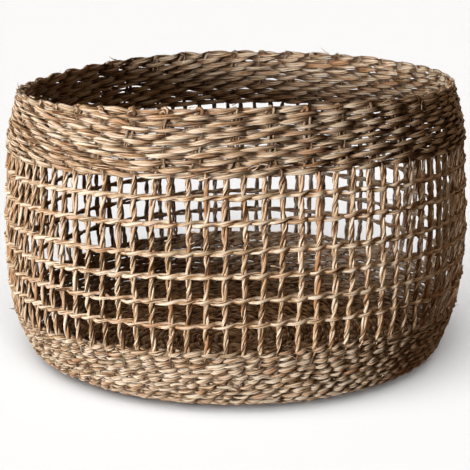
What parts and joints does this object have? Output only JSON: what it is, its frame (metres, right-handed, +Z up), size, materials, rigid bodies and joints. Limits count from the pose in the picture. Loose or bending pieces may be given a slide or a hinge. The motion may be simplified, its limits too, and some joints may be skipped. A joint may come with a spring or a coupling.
{
  "type": "woven storage basket",
  "caption": "Round open seagrass storage basket with dense twined bands at rim and base and an openwork wall of upright cords between them.",
  "frame": {"origin": "on the floor under the middle of the base", "axes": "+Z up along the basket's axis, -Y towards the viewer"},
  "size_m": [0.4194, 0.4194, 0.254],
  "materials": {
    "stake_cord": "dry twisted seagrass cord",
    "weft_strand": "dry seagrass strand",
    "top_band_weave": "dense twined seagrass",
    "base_band_weave": "dense twined seagrass",
    "base_weave": "dense woven seagrass, darker inside"
  },
  "bodies": {
    "root": {"base_band": "base_band_weave", "base_disc": "base_weave", "row_1_inner_strand": "weft_strand", "row_1_outer_strand": "weft_strand", "row_2_inner_strand": "weft_strand", "row_2_outer_strand": "weft_strand", "row_3_inner_strand": "weft_strand", "row_3_outer_strand": "weft_strand", "row_4_inner_strand": "weft_strand", "row_4_outer_strand": "weft_strand", "row_5_inner_strand": "weft_strand", "row_5_outer_strand": "weft_strand", "row_6_inner_strand": "weft_strand", "row_6_outer_strand": "weft_strand", "stake_pair_01": "stake_cord", "stake_pair_02": "stake_cord", "stake_pair_03": "stake_cord", "stake_pair_04": "stake_cord", "stake_pair_05": "stake_cord", "stake_pair_06": "stake_cord", "stake_pair_07": "stake_cord", "stake_pair_08": "stake_cord", "stake_pair_09": "stake_cord", "stake_pair_10": "stake_cord", "stake_pair_11": "stake_cord", "stake_pair_12": "stake_cord", "stake_pair_13": "stake_cord", "stake_pair_14": "stake_cord", "stake_pair_15": "stake_cord", "stake_pair_16": "stake_cord", "stake_pair_17": "stake_cord", "stake_pair_18": "stake_cord", "stake_pair_19": "stake_cord", "stake_pair_20": "stake_cord", "stake_pair_21": "stake_cord", "stake_pair_22": "stake_cord", "stake_pair_23": "stake_cord", "stake_pair_24": "stake_cord", "stake_pair_25": "stake_cord", "stake_pair_26": "stake_cord", "stake_pair_27": "stake_cord", "stake_pair_28": "stake_cord", "stake_pair_29": "stake_cord", "stake_pair_30": "stake_cord", "stake_pair_31": "stake_cord", "stake_pair_32": "stake_cord", "stake_pair_33": "stake_cord", "stake_pair_34": "stake_cord", "stake_pair_35": "stake_cord", "stake_pair_36": "stake_cord", "stake_pair_37": "stake_cord", "stake_pair_38": "stake_cord", "stake_pair_39": "stake_cord", "stake_pair_40": "stake_cord", "stake_pair_41": "stake_cord", "stake_pair_42": "stake_cord", "stake_pair_43": "stake_cord", "stake_pair_44": "stake_cord", "top_band": "top_band_weave"}
  },
  "joints": []
}
